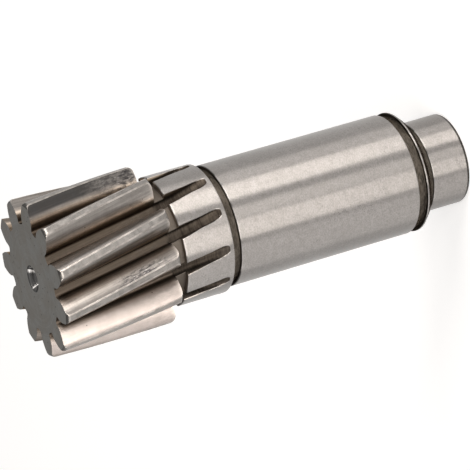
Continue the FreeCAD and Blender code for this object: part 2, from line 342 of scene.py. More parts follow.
def half_pitch_grid(z, blank, evenness, inset=0.0):
    """Angle and radius of every point across half a pitch, at every height.

    The outline is followed from the floor to where it meets the blank, at fixed shares of that
    length, so that the cut's edge is one unbroken line of points. It then steps over the broken
    edge and goes evenly along the blank to the middle of the tooth. Below the run-out's end
    the points spread until they are even all round. An inset draws the whole outline back
    into the metal.
    """
    outline, run, ends = space_outline()
    knots = np.concatenate([[0.0]] + [
        np.linspace(low, high, steps + 1)[1:]
        for low, high, steps in zip(np.append(0.0, ends[:-1]), ends, SPACE_STEPS)
    ])
    share = knots / knots[-1]
    _, reached = cut_by_the_rim(outline[:, 0], outline[:, 1], z[:, None])
    inside = (reached < blank[:, None]).sum(1)
    upper = np.clip(inside, 1, len(run) - 1)
    rows = np.arange(len(z))
    low_r, high_r = reached[rows, upper - 1], reached[rows, upper]
    part = np.clip((blank - low_r) / (high_r - low_r), 0, 1)
    meets = np.where(inside == 0, 0.0, run[upper - 1] + part * (run[upper] - run[upper - 1]))
    meets = np.maximum(meets, LEAST_CUT)
    edge = np.minimum(CUT_EDGE, meets / 4)
    along = share * (meets - edge)[:, None]
    half_width = np.interp(along, run, outline[:, 0])
    level = np.interp(along, run, outline[:, 1])
    if inset:
        slope_w = np.interp(along + NUDGE, run, outline[:, 0]) - half_width
        slope_l = np.interp(along + NUDGE, run, outline[:, 1]) - level
        size = np.hypot(slope_w, slope_l)
        half_width = half_width + inset * slope_l / size
        level = level - inset * slope_w / size
    angle, radius = cut_by_the_rim(half_width, level, z[:, None])
    radius = np.minimum(radius, blank[:, None])
    met_w = np.interp(meets, run, outline[:, 0])
    met_l = np.interp(meets, run, outline[:, 1])
    met_angle, _ = cut_by_the_rim(met_w, met_l, z)
    first = met_angle + (edge + inset) / blank
    land = first[:, None] + (HALF_PITCH - first)[:, None] * np.linspace(0, 1, LAND_STEPS + 1)
    angle = np.concatenate([angle, land], 1)
    radius = np.concatenate([radius, np.repeat((blank - inset)[:, None], LAND_STEPS + 1, 1)], 1)
    even = np.linspace(0, HALF_PITCH, HALF_FACES + 1)
    angle = angle * (1 - evenness)[:, None] + even * evenness[:, None]
    radius = np.where(evenness[:, None] > 0, blank[:, None], radius)
    return angle, radius


def all_round(angle, radius, z):
    """Rings of points from half a pitch: mirrored about each space and repeated round the axis.

    A space's middle stands at half a pitch plus the twist times the depth below the gear's top.
    """
    middle = HALF_PITCH + (GEAR_TOP - z) * TWIST
    offsets = np.concatenate([-angle[:, :0:-1], angle[:, :-1]], 1)
    radii = np.concatenate([radius[:, :0:-1], radius[:, :-1]], 1)
    spaces = np.arange(TEETH) * 2 * HALF_PITCH
    azimuth = middle[:, None, None] + spaces[None, :, None] + offsets[:, None, :]
    full_r = np.repeat(radii[:, None, :], TEETH, 1)
    heights = np.broadcast_to(z[:, None, None], azimuth.shape)
    rings = np.stack([full_r * np.cos(azimuth), full_r * np.sin(azimuth), heights], -1)
    return rings.reshape(len(z), -1, 3)


def turned_rings(radii, heights, start):
    """Even rings round the axis: radius and height from a turned outline, azimuth from a start."""
    azimuth = start + np.arange(COLUMNS) * 2 * math.pi / COLUMNS
    ring = np.stack([np.cos(azimuth), np.sin(azimuth), np.zeros(COLUMNS)], -1)
    rings = radii[:, None, None] * ring[None]
    rings[..., 2] = heights[:, None]
    return rings


def closed_mesh(name, rings, low_point, top_point):
    """A mesh of rings joined row by row, with a fan of triangles to a point at each end."""
    rows = len(rings)
    points = np.concatenate([rings.reshape(-1, 3), [low_point, top_point]]) * MM
    row, column = np.meshgrid(np.arange(rows - 1), np.arange(COLUMNS), indexing="ij")
    beside = (column + 1) % COLUMNS
    quads = np.stack([
        row * COLUMNS + column, row * COLUMNS + beside,
        (row + 1) * COLUMNS + beside, (row + 1) * COLUMNS + column,
    ], -1).reshape(-1, 4)
    ring = np.arange(COLUMNS)
    after = (ring + 1) % COLUMNS
    last = (rows - 1) * COLUMNS
    low_fan = np.stack([np.full(COLUMNS, rows * COLUMNS), after, ring], -1)
    top_fan = np.stack([np.full(COLUMNS, rows * COLUMNS + 1), last + ring, last + after], -1)
    mesh = bpy.data.meshes.new(name)
    mesh.from_pydata(points.tolist(), [], quads.tolist() + low_fan.tolist() + top_fan.tolist())
    mesh.shade_smooth()
    return mesh


def mark_sharp_edges(mesh, sharp_rings, toothed):
    """Marks the edges along the sharp rings and, over the toothed rows, along each cut's brink."""
    brink = np.zeros(HALF_FACES + 1, bool)
    brink[[BRINK, BRINK + 1]] = True
    sharp_columns = np.tile(np.concatenate([brink[:0:-1], brink[:-1]]), TEETH)
    ends = np.empty(len(mesh.edges) * 2, np.int64)
    mesh.edges.foreach_get("vertices", ends)
    ends = ends.reshape(-1, 2)
    rows = len(sharp_rings)
    on_rings = (ends < rows * COLUMNS).all(1)
    low_row, high_row = np.minimum(ends // COLUMNS, rows - 1).T
    up_the_brink = sharp_columns[ends[:, 0] % COLUMNS] & toothed[low_row]
    sharp = np.where(low_row == high_row, sharp_rings[low_row], up_the_brink) & on_rings
    flags = mesh.attributes.new("sharp_edge", "BOOLEAN", "EDGE")
    flags.data.foreach_set("value", sharp)


def finish_faces(mesh, rings, cut_row, face_row):
    """Gives each face its finish, by its row's radius and height and by its place in the pitch.

    Cut row is the first ring of the tooth spaces, and face row the ring round the end face. A
    ground run lies between two heights and outside a radius that leaves out its grooves' walls.
    """
    row = np.arange(len(rings) - 1)
    reach = np.hypot(rings[:, 0, 0], rings[:, 0, 1])
    radius = (reach[:-1] + reach[1:]) / 2
    height = (rings[:-1, 0, 2] + rings[1:, 0, 2]) / 2
    ground = np.zeros(len(row), bool)
    for foot, top, least_radius in (
        (SPIGOT_EDGE * 0.8, SPIGOT_TOP, SPIGOT_R - 0.2),
        (LIP_FOOT, LOW_GROOVE, JOURNAL_R - 0.1),
        (JOURNAL_FOOT, JOURNAL_TOP, JOURNAL_R - 0.2),
        (COLLAR_FOOT, COLLAR_TOP, JOURNAL_R),
    ):
        ground |= (height > foot) & (height < top) & (radius > least_radius)
    finish = np.where(ground, GROUND, TURNED)[:, None].repeat(COLUMNS, 1)

    face = np.arange(HALF_FACES)
    cut = face < BRINK
    edge = (face == BRINK - 1) | (face == BRINK)
    in_space = np.tile(np.concatenate([cut[::-1], cut]), TEETH)
    far_wall = np.tile(np.concatenate([np.zeros(HALF_FACES, bool), cut]), TEETH)
    on_edge = np.tile(np.concatenate([edge[::-1], edge]), TEETH)
    toothed = ((row >= cut_row) & (row < face_row - 1))[:, None]
    tooth = toothed & (height > GEAR_FOOT)[:, None]
    finish[toothed & in_space] = NEAR_FLANK
    finish[toothed & far_wall] = FAR_FLANK
    finish[tooth & ~in_space] = TIP
    finish[tooth & on_edge] = EDGE
    finish[row >= face_row - 1] = FACED
    finish[(row > face_row) & (radius < MOUTH_R + FINE_EDGE)] = CENTRE
    finish = np.concatenate([finish.ravel(), np.full(COLUMNS, TURNED), np.full(COLUMNS, CENTRE)])
    mesh.polygons.foreach_set("material_index", finish.astype(np.int32))
    mesh.update()


def make_shaft():
    """The whole shaft as one closed surface over two parameters: a row of rings, each the same count.

    Rows run from the point of the spigot's centre, along the turned outline and the toothed
    length, over the gear's end face and down into its centre. Each pole is one vertex.
    """
    low_outline = rounded([
        (0.0, DRILL_POINT, 0),
        (DRILL_R, DRILL_DEPTH, 0),
        (DRILL_R, CONE_DEPTH, SOFT_CORNER),
        (MOUTH_R, 0.0, FINE_EDGE),
        (SPIGOT_R, 0.0, SPIGOT_EDGE),
        (SPIGOT_R, SPIGOT_TOP, GROUND_EDGE),
        (UNDERCUT_R, SPIGOT_TOP, UNDERCUT_CORNER),
        (UNDERCUT_R, CHAMFER_FOOT, SOFT_CORNER),
        (CHAMFER_R, CHAMFER_FOOT, FINE_EDGE),
        (JOURNAL_R, LIP_FOOT, FINE_EDGE),
        (JOURNAL_R, LOW_GROOVE, FINE_EDGE),
        (GROOVE_R, LOW_GROOVE, FINE_EDGE),
        (GROOVE_R, JOURNAL_FOOT, FINE_EDGE),
        (JOURNAL_R, JOURNAL_FOOT, GROUND_EDGE),
        (JOURNAL_R, JOURNAL_TOP, GROUND_EDGE),
        (GROOVE_R, JOURNAL_TOP, FINE_EDGE),
        (GROOVE_R, COLLAR_FOOT, FINE_EDGE),
        (COLLAR_R, COLLAR_FOOT, GROUND_EDGE),
        (COLLAR_R, EVEN_TOP, 0),
    ])
    top_outline = rounded([
        (EVEN_FACE_R, GEAR_TOP, 0),
        (MOUTH_R, GEAR_TOP, FINE_EDGE),
        (DRILL_R, GEAR_TOP - CONE_DEPTH, SOFT_CORNER),
        (DRILL_R, GEAR_TOP - DRILL_DEPTH, 0),
        (0.0, GEAR_TOP - DRILL_POINT, 0),
    ])
    low_r, low_z, low_sharp = (values[1:-1] for values in low_outline)
    top_r, top_z, top_sharp = (values[:-1] for values in top_outline)
    z, blank, evenness, run_out_end = toothed_blank()
    face_z = np.array([GEAR_TOP])
    rings = np.concatenate([
        turned_rings(low_r, low_z, (GEAR_TOP - z[0]) * TWIST),
        all_round(*half_pitch_grid(z, blank, evenness), z),
        all_round(*half_pitch_grid(face_z, blank[-1:], np.zeros(1), CUT_EDGE), face_z),
        turned_rings(top_r, top_z, 0.0),
    ])
    mesh = closed_mesh("pinion_shaft_steel", rings, (0, 0, DRILL_POINT), (0, 0, GEAR_TOP - DRILL_POINT))

    # Sharp rings: where the turned outline turns hard, where two rings stand at one height, and
    # on both sides of the end face's broken edge.
    cut_row = len(low_r) + int(np.searchsorted(z, run_out_end))
    face_row = len(low_r) + len(z)
    step = np.diff(z) < 1e-6
    steps = np.append(step, True) | np.insert(step, 0, False)
    sharp_rings = np.concatenate([low_sharp, steps, [True], top_sharp])
    row = np.arange(len(rings))
    mark_sharp_edges(mesh, sharp_rings, (row >= cut_row) & (row < face_row))
    finish_faces(mesh, rings, cut_row, face_row)
    shaft = bpy.data.objects.new("pinion_shaft_steel", mesh)
    bpy.context.scene.collection.objects.link(shaft)
    return shaft


def add(tree, kind, **values):
    """A shader node with its properties set."""
    node = tree.nodes.new(kind)
    for word, value in values.items():
        setattr(node, word, value)
    return node


def put(tree, node, **inputs):
    """Feeds a node's inputs, by name or as i and a number: a socket by a link, the rest directly."""
    for word, source in inputs.items():
        socket = node.inputs[int(word[1:])] if word[1:].isdigit() else node.inputs[word.replace("_", " ")]
        if isinstance(source, bpy.types.NodeSocket):
            tree.links.new(source, socket)
        elif socket.type == "RGBA":
            socket.default_value = (*source, 1)
        else:
            socket.default_value = source
    return node


def maths(tree, operation, first, second=0.0, third=0.0):
    """One sum, on sockets or numbers."""
    node = add(tree, "ShaderNodeMath", operation=operation)
    return put(tree, node, i0=first, i1=second, i2=third).outputs[0]


def vector_maths(tree, operation, first, **second):
    """One sum on vectors, which gives a vector or, for a distance or a dot product, a number."""
    node = put(tree, add(tree, "ShaderNodeVectorMath", operation=operation), i0=first, **second)
    return node.outputs["Value" if operation in ("DISTANCE", "DOT_PRODUCT") else "Vector"]


def noise(tree, place, output="Fac", **settings):
    """Soft noise at a place, as a number or a colour."""
    return put(tree, add(tree, "ShaderNodeTexNoise"), Vector=place, **settings).outputs[output]


def spread(tree, value, low, high, out_low=0.0, out_high=1.0):
    """Takes a value from one range to another, smoothly and held at both ends."""
    node = add(tree, "ShaderNodeMapRange", interpolation_type="SMOOTHSTEP")
    put(tree, node, Value=value, From_Min=low, From_Max=high, To_Min=out_low, To_Max=out_high)
    return node.outputs["Result"]


def blend_colour(tree, share, first, second):
    """Mixes two colours by a share."""
    node = add(tree, "ShaderNodeMix", data_type="RGBA")
    return put(tree, node, i0=share, i6=first, i7=second).outputs[2]


def tint(tree, mask, most, under, over):
    """Lays a colour over another by a mask, at most by a share."""
    return blend_colour(tree, maths(tree, "MULTIPLY", mask, most), under, over)


def new_group(name, inputs, numbers, vectors=()):
    """An empty node group with its named sockets: inputs with their values, and what it puts out."""
    tree = bpy.data.node_groups.new(name, "ShaderNodeTree")
    for word, value in inputs.items():
        kind = "NodeSocketVector" if isinstance(value, tuple) else "NodeSocketFloat"
        tree.interface.new_socket(name=word, in_out="INPUT", socket_type=kind).default_value = value
    for word in numbers:
        tree.interface.new_socket(name=word, in_out="OUTPUT", socket_type="NodeSocketFloat")
    for word in vectors:
        tree.interface.new_socket(name=word, in_out="OUTPUT", socket_type="NodeSocketVector")
    return tree, add(tree, "NodeGroupInput"), add(tree, "NodeGroupOutput")


def use(tree, group, **inputs):
    """Places a group in a material with this material's own values."""
    return put(tree, add(tree, "ShaderNodeGroup", node_tree=GROUPS[group]), **inputs)


def lay_out(tree):
    """Sets the nodes in columns, each one column left of the farthest left node that it feeds."""
    column = {node.name: 0 for node in tree.nodes}
    for _ in range(len(tree.nodes)):
        for link in tree.links:
            feeds, fed = link.from_node.name, link.to_node.name
            column[feeds] = max(column[feeds], column[fed] + 1)
    filled = {}
    for node in tree.nodes:
        at = column[node.name]
        filled[at] = filled.get(at, 0) + 1
        node.location = (-220 * at, -260 * filled[at])


def shaft_place_group():
    """Where a point is on the shaft: radius and height in mm, and its place with the helix turned out.

    The place is turned about the axis by the helix's twist at its height, so that a line down a
    tooth stays at one place across. The cut radius takes away what the cutter's round rim has
    lifted the floor of the space by, R - sqrt(R^2 - s^2), so that it reads depth in the run-outs.
    """
    tree, given, out = new_group("shaft_place", {"Place": (0.0, 0.0, 0.0)},
                                 ("Radius", "Height", "Cut Radius"), ("Millimetres", "Untwisted"))
    scaled = vector_maths(tree, "SCALE", given.outputs["Place"], Scale=1 / MM)
    x, y, z = put(tree, add(tree, "ShaderNodeSeparateXYZ"), i0=scaled).outputs
    squares = maths(tree, "ADD", maths(tree, "MULTIPLY", x, x), maths(tree, "MULTIPLY", y, y))
    radius = maths(tree, "SQRT", squares)
    turned = put(tree, add(tree, "ShaderNodeVectorRotate", rotation_type="Z_AXIS"), Vector=scaled,
                 Angle=maths(tree, "MULTIPLY", z, TWIST))
    below = maths(tree, "MAXIMUM", maths(tree, "SUBTRACT", GEAR_FOOT, z), 0.0)
    past = maths(tree, "DIVIDE", below, math.cos(HELIX))
    under_root = maths(tree, "MULTIPLY_ADD", maths(tree, "MULTIPLY", past, past), -1.0, CUTTER_R ** 2)
    lift = maths(tree, "SUBTRACT", CUTTER_R, maths(tree, "SQRT", under_root))
    put(tree, out, Radius=radius, Height=z, Millimetres=scaled, Untwisted=turned.outputs[0],
        Cut_Radius=maths(tree, "SUBTRACT", radius, lift))
    return tree


def tool_marks_group():
    """Fine lines left by a tool or wheel: noise stretched across the way the tool went.

    Along is how many marks there are in a millimetre of the axis, Around in a millimetre across
    it. Unevenness is how much a wider noise of the same kind sways them.
    """
    tree, given, out = new_group(
        "tool_marks", {"Place": (0.0, 0.0, 0.0), "Along": 8.0, "Around": 1.0, "Unevenness": 0.5},
        ("Marks", "Height"))
    place, along, around, uneven = given.outputs[:4]
    scale = put(tree, add(tree, "ShaderNodeCombineXYZ"), X=around, Y=around, Z=along)
    at = vector_maths(tree, "MULTIPLY", place, i1=scale.outputs[0])
    fine = noise(tree, at, Scale=1.0, Detail=2.0, Roughness=0.65)
    wide = noise(tree, vector_maths(tree, "SCALE", at, Scale=0.22), Scale=1.0, Detail=2.0)
    both = maths(tree, "MULTIPLY_ADD", maths(tree, "SUBTRACT", wide, 0.5), uneven, fine)
    put(tree, out, Marks=spread(tree, both, 0.25, 0.75), Height=both)
    return tree


def handling_group():
    """Marks of use: cloudy dulling, sparse thin scratches and specks.

    Clouds are soft noise, scratches are the borders of long cells where a second noise lets them
    show, and specks are the middles of a few small cells.
    """
    tree, given, out = new_group(
        "handling", {"Place": (0.0, 0.0, 0.0), "Cloud Size": 3.0, "Scratch Length": 4.0,
                     "Speck Size": 0.3, "Speck Share": 0.1},
        ("Clouds", "Scratches", "Specks"))
    place, cloud_size, scratch_length, speck_size, speck_share = given.outputs[:5]
    cloud = noise(tree, place, Scale=maths(tree, "DIVIDE", 1.0, cloud_size), Detail=4.0, Roughness=0.6)

    drawn = vector_maths(tree, "MULTIPLY", place, i1=(1.3, 0.35, 1.0))
    swayed = vector_maths(tree, "ADD", drawn, i1=noise(tree, place, "Color", Scale=0.5, Detail=1.0))
    cells = put(tree, add(tree, "ShaderNodeTexVoronoi", feature="DISTANCE_TO_EDGE"), Vector=swayed,
                Scale=maths(tree, "DIVIDE", 1.0, scratch_length))
    line = spread(tree, cells.outputs["Distance"], 0.0, 0.012, 1.0, 0.0)
    shown = spread(tree, noise(tree, place, Scale=0.45, Detail=1.0), 0.55, 0.62)

    dots = put(tree, add(tree, "ShaderNodeTexVoronoi"), Vector=place,
               Scale=maths(tree, "DIVIDE", 1.0, speck_size))
    dot = spread(tree, dots.outputs["Distance"], 0.12, 0.4, 1.0, 0.0)
    chance = put(tree, add(tree, "ShaderNodeSeparateColor"), Color=dots.outputs["Color"])
    chosen = maths(tree, "LESS_THAN", chance.outputs[0], speck_share)
    put(tree, out, Clouds=spread(tree, cloud, 0.35, 0.65), Scratches=maths(tree, "MULTIPLY", line, shown),
        Specks=maths(tree, "MULTIPLY", dot, chosen))
    return tree


def rubbed_group():
    """Where the teeth are worn, and one painted dark: a rubbed patch, burrs at the teeth's feet,
    bright teeth and a dark tooth.

    The patch is everything within a short distance of one line down the helix, over part of its
    length. The burrs fade out with height and are strong on one tooth only. Noise breaks both
    into dark and light bits. The burred tooth is painted dark at its top, a painted dark
    reflection, and clears towards its foot, along a border that the same noise makes smoky.
    Some teeth have run bright.
    """
    tree, given, out = new_group("rubbed", {"Place": (0.0, 0.0, 0.0), "Height": 0.0},
                                 ("Dark", "Light", "Run Bright", "Blackened"))
    place, height = given.outputs[:2]
    flat = vector_maths(tree, "MULTIPLY", place, i1=(1.0, 1.0, 0.0))
    away = vector_maths(tree, "DISTANCE", flat, i1=RUBBED_ACROSS)
    begins = spread(tree, height, RUBBED_RUN[0], RUBBED_RUN[1])
    lasts = spread(tree, height, RUBBED_RUN[2], RUBBED_RUN[3], 1.0, 0.0)
    patch = maths(tree, "MULTIPLY", spread(tree, away, 0.5, 1.15, 1.0, 0.0),
                  maths(tree, "MULTIPLY", begins, lasts))

    way = vector_maths(tree, "NORMALIZE", flat)
    to_bright = vector_maths(tree, "DOT_PRODUCT", way, i1=RUN_BRIGHT_WAY)
    to_burr = vector_maths(tree, "DOT_PRODUCT", way, i1=BURRED_WAY)
    at_foot = maths(tree, "MULTIPLY", spread(tree, height, GEAR_FOOT + 1.0, GEAR_FOOT + 9.0, 1.0, 0.0),
                    spread(tree, height, GEAR_FOOT - 0.2, GEAR_FOOT + 0.2))
    burrs = maths(tree, "MULTIPLY", at_foot, spread(tree, to_burr, 0.93, 0.98, 0.18, 1.0))
    where = maths(tree, "MAXIMUM", patch, burrs)

    drawn = vector_maths(tree, "MULTIPLY", place, i1=(1.0, 1.0, 0.4))
    bits = noise(tree, drawn, Scale=2.6, Detail=4.0, Roughness=0.7)
    glints = noise(tree, drawn, Scale=5.0, Detail=2.0, Roughness=0.6)
    dark = maths(tree, "MULTIPLY", where, spread(tree, bits, 0.40, 0.62))
    light = maths(tree, "MULTIPLY", where, spread(tree, glints, 0.60, 0.68))
    smoky = maths(tree, "MULTIPLY_ADD", bits, 7.0, height)
    # Painted dark reflection: the burred tooth's top is darkened.
    painted_dark = maths(tree, "MULTIPLY", spread(tree, to_burr, 0.88, 0.94),
                  spread(tree, smoky, GEAR_FOOT + 7.0, GEAR_FOOT + 12.0, 0.25, 1.0))
    put(tree, out, Dark=maths(tree, "MULTIPLY", dark, 0.9), Light=maths(tree, "MULTIPLY", light, 0.25),
        Run_Bright=spread(tree, to_bright, 0.80, 0.90), Blackened=painted_dark)
    return tree


def new_steel(name, anisotropic=0.0):
    """A bare metal with the shaft's place worked out, ready for its own marks."""
    material = bpy.data.materials.new(name)
    material.use_nodes = True
    tree = material.node_tree
    shader = put(tree, tree.nodes["Principled BSDF"], Metallic=1.0)
    if anisotropic:
        tangent = add(tree, "ShaderNodeTangent", direction_type="RADIAL", axis="Z")
        put(tree, shader, Anisotropic=anisotropic, Anisotropic_Rotation=0.25, Tangent=tangent.outputs[0])
    where = use(tree, "place", Place=add(tree, "ShaderNodeTexCoord").outputs["Object"])
    return material, tree, shader, where


def bumped(tree, shader, height, depth):
    """Feeds the shader's normal from a height, with the bump's depth in millimetres."""
    bump = put(tree, add(tree, "ShaderNodeBump"), Strength=1.0, Distance=depth * MM, Height=height)
    put(tree, shader, Normal=bump.outputs[0])


def scuffed(tree, worn, colour):
    """Lays the rubbed group's dark and light bits over a colour."""
    darker = blend_colour(tree, worn.outputs["Dark"], colour, SCUFF_DARK)
    return blend_colour(tree, worn.outputs["Light"], darker, SCUFF_LIGHT)


def ground_steel():
    """Journal, collar, spigot and lip: fine grinding lines round the shaft, a little wear, a painted dark
    rim.

    The rim is the edge round the spigot's end, darkened as painted shade.
    """
    material, tree, shader, where = new_steel("ground_steel", anisotropic=1.0)
    grain = use(tree, "marks", Place=where.outputs["Millimetres"], Along=6.5, Around=4.5, Unevenness=0.35)
    hand = use(tree, "handling", Place=where.outputs["Millimetres"], Cloud_Size=5.0, Scratch_Length=7.0,
               Speck_Size=0.35, Speck_Share=0.0012)
    metal = blend_colour(tree, grain.outputs["Marks"], (0.232, 0.220, 0.210), (0.325, 0.308, 0.295))
    dulled = tint(tree, hand.outputs["Clouds"], 0.10, metal, (0.22, 0.205, 0.19))
    scratched = tint(tree, hand.outputs["Scratches"], 0.12, dulled, (0.55, 0.53, 0.51))
    specked = tint(tree, hand.outputs["Specks"], 0.8, scratched, (0.05, 0.045, 0.04))
    # Painted shade: the edge round the spigot's end is darkened nearly all the way.
    rim = spread(tree, where.outputs["Height"], SPIGOT_EDGE, SPIGOT_EDGE + 0.15, 0.9, 0.0)
    rough = maths(tree, "MULTIPLY_ADD", grain.outputs["Marks"], 0.04,
                  maths(tree, "MULTIPLY_ADD", hand.outputs["Clouds"], 0.02, 0.27))
    put(tree, shader, Base_Color=blend_colour(tree, rim, specked, (0.02, 0.018, 0.016)), Roughness=rough)
    bumped(tree, shader, grain.outputs["Height"], 0.002)
    return material


def turned_steel():
    """Grooves, undercut, lip chamfer, neck and spigot end: coarser turned lines, browner and duller.

    All below the lip is a little darker, painted shade meant for the recess of the undercut and
    the lip's chamfer. The neck is cleaner, and its steps up to the collar and to the teeth are
    lighter, a painted highlight.
    """
    material, tree, shader, where = new_steel("turned_steel")
    lines = use(tree, "marks", Place=where.outputs["Millimetres"], Along=7.0, Around=2.2, Unevenness=0.8)
    hand = use(tree, "handling", Place=where.outputs["Millimetres"], Cloud_Size=2.0, Scratch_Length=3.0,
               Speck_Size=0.25, Speck_Share=0.05)
    metal = blend_colour(tree, lines.outputs["Marks"], (0.04, 0.035, 0.029), (0.11, 0.096, 0.08))
    oiled = tint(tree, hand.outputs["Clouds"], 0.35, metal, (0.07, 0.058, 0.046))
    specked = blend_colour(tree, hand.outputs["Specks"], oiled, (0.02, 0.017, 0.014))
    # Painted highlight: the steps up to the collar and to the teeth are made lighter.
    step = spread(tree, where.outputs["Radius"], NECK_R + 0.02, NECK_R + 0.12)
    neck_and_painted_lit_steps = blend_colour(tree, step, (0.10, 0.086, 0.073), (0.28, 0.245, 0.21))
    neck = spread(tree, where.outputs["Height"], COLLAR_TOP - 0.12, COLLAR_TOP + 0.05)
    turned = blend_colour(tree, neck, specked, neck_and_painted_lit_steps)
    # Painted shade: all below the lip is blended a quarter of the way towards near-black.
    painted_shade_below_lip = spread(tree, where.outputs["Height"], LIP_FOOT + 0.02, LIP_FOOT + 0.1, 0.25, 0.0)
    shaded = blend_colour(tree, painted_shade_below_lip, turned, (0.012, 0.011, 0.01))
    rough = maths(tree, "MULTIPLY_ADD", lines.outputs["Marks"], 0.12, 0.40)
    put(tree, shader, Base_Color=shaded, Roughness=rough, Specular_Tint=(0.25, 0.22, 0.2))
    bumped(tree, shader, lines.outputs["Height"], 0.02)
    return material


def hobbed_steel(name, steel_and_painted_light, streak, clean_from, dullness):
    """One wall of the tooth spaces: fine lines down the tooth, faint feed lines across it, and
    painted light and shade.

    Its colours go by cut radius, from the floor of the space up the flank to the rounded tip edge:
    the steel's own colour with painted shade, darker towards the floor, and painted highlights
    where the flank is lighter. The lines take a streak's share of them away. In the run-out the
    cut is dull and dark, except for its wall above the cut radius clean_from and for its brink at
    the collar's surface, which carries a painted highlight. Dullness is the roughness of the wall
    where the run-out's dulling is gone.
    """
    material, tree, shader, where = new_steel(name)
    radius, height, cut_radius = (where.outputs[word] for word in ("Radius", "Height", "Cut Radius"))
    down = use(tree, "marks", Place=where.outputs["Untwisted"], Along=0.25, Around=4.0, Unevenness=0.9)
    across = use(tree, "marks", Place=where.outputs["Millimetres"], Along=4.5, Around=0.8, Unevenness=0.6)
    hand = use(tree, "handling", Place=where.outputs["Millimetres"], Cloud_Size=1.6, Scratch_Length=2.5,
               Speck_Size=0.3, Speck_Share=0.008)
    worn = use(tree, "rubbed", Place=where.outputs["Untwisted"], Height=height)

    # Painted light and shade: the flank's colour ramp by cut radius, dark at the floor, lighter up the
    # flank.
    share = put(tree, add(tree, "ShaderNodeMapRange"), Value=cut_radius, From_Min=ROOT_R, From_Max=TIP_R)
    steel_and_painted_light_ramp = put(tree, add(tree, "ShaderNodeValToRGB"), Fac=share.outputs[0])
    stops = steel_and_painted_light_ramp.color_ramp.elements
    while len(stops) < len(steel_and_painted_light):
        stops.new(0.5)
    for stop, (tone_radius, colour) in zip(stops, steel_and_painted_light):
        stop.position = (tone_radius - ROOT_R) / (TIP_R - ROOT_R)
        stop.color = (*colour, 1)

    marks = maths(tree, "MULTIPLY_ADD", down.outputs["Marks"], 0.8,
                  maths(tree, "MULTIPLY", across.outputs["Marks"], 0.2))
    lined = tint(tree, marks, streak, steel_and_painted_light_ramp.outputs[0], LINE_DARK)
    bright = maths(tree, "MULTIPLY", spread(tree, radius, 7.7, 8.6), worn.outputs["Run Bright"])
    run_bright = blend_colour(tree, bright, lined, RUN_BRIGHT)
    # Painted dark reflection on the upper flank of the burred tooth.
    painted_dark = maths(tree, "MULTIPLY", worn.outputs["Blackened"], spread(tree, radius, 8.75, 9.3, 0.0, 0.85))
    with_painted_dark = blend_colour(tree, painted_dark, run_bright, PAINTED_DARK_REFLECTION)

    wall = spread(tree, cut_radius, clean_from - 0.25, clean_from)
    brink = maths(tree, "MULTIPLY", spread(tree, radius, COLLAR_R - 0.16, COLLAR_R - 0.06),
                  spread(tree, cut_radius, ROOT_R + 0.1, ROOT_R + 0.3))
    run_out = maths(tree, "MULTIPLY", spread(tree, height, *RUN_OUT_FADE, 0.93, 0.0),
                    maths(tree, "SUBTRACT", 1.0, maths(tree, "MAXIMUM", wall, brink)))
    # Painted highlight: the brink at the collar's surface is lightened in the run-out.
    brink_painted_highlight = maths(tree, "MULTIPLY", brink, spread(tree, height, *RUN_OUT_FADE, 0.85, 0.0))
    cut = blend_colour(tree, across.outputs["Marks"], CUT_DARK, CUT_LIGHT)
    dull = blend_colour(tree, run_out, with_painted_dark, cut)
    with_brink_painted_highlight = blend_colour(tree, brink_painted_highlight, dull, BRINK_PAINTED_HIGHLIGHT)

    clouded = tint(tree, hand.outputs["Clouds"], 0.12, with_brink_painted_highlight, (0.05, 0.04, 0.03))
    specked = blend_colour(tree, hand.outputs["Specks"], clouded, SPECK)
    rough = maths(tree, "MULTIPLY_ADD", marks, 0.08, maths(tree, "MULTIPLY_ADD", run_out, 0.25, dullness))
    relief = maths(tree, "MULTIPLY_ADD", across.outputs["Height"], 0.2, down.outputs["Height"])
    put(tree, shader, Base_Color=scuffed(tree, worn, specked), Roughness=rough,
        Specular_Tint=(0.5, 0.45, 0.4))
    bumped(tree, shader, relief, 0.004)
    return material


def painted_highlight_edge_steel():
    """The tooth edges: a painted highlight, lighter steel than the lands that shows as a thin bright line,
    which fades in places.
    """
    material, tree, shader, where = new_steel("painted_highlight_edge_steel")
    hand = use(tree, "handling", Place=where.outputs["Millimetres"], Cloud_Size=1.4, Scratch_Length=2.0,
               Speck_Size=0.3, Speck_Share=0.02)
    # Painted highlight: the edges are lighter than the lands around them.
    metal = blend_colour(tree, hand.outputs["Clouds"], (0.42, 0.39, 0.362), (0.23, 0.213, 0.198))
    put(tree, shader, Base_Color=metal, Roughness=0.24)
    return material


def tip_steel():
    """The lands on top of the teeth: turned lines, cloudy with wear, specked, bright or scuffed."""
    material, tree, shader, where = new_steel("tip_steel")
    lines = use(tree, "marks", Place=where.outputs["Millimetres"], Along=6.0, Around=1.5, Unevenness=0.8)
    hand = use(tree, "handling", Place=where.outputs["Millimetres"], Cloud_Size=1.1, Scratch_Length=2.0,
               Speck_Size=0.3, Speck_Share=0.10)
    worn = use(tree, "rubbed", Place=where.outputs["Untwisted"], Height=where.outputs["Height"])
    metal = blend_colour(tree, lines.outputs["Marks"], (0.165, 0.155, 0.145), (0.21, 0.199, 0.188))
    cloudy = tint(tree, hand.outputs["Clouds"], 0.5, metal, (0.28, 0.266, 0.252))
    specked = tint(tree, hand.outputs["Specks"], 0.3, cloudy, SPECK)
    bright = tint(tree, worn.outputs["Run Bright"], 0.7, specked, LAND_RUN_BRIGHT)
    rough = maths(tree, "MULTIPLY_ADD", hand.outputs["Clouds"], 0.14, 0.30)
    put(tree, shader, Base_Color=scuffed(tree, worn, bright), Roughness=rough)
    bumped(tree, shader, lines.outputs["Height"], 0.004)
    return material


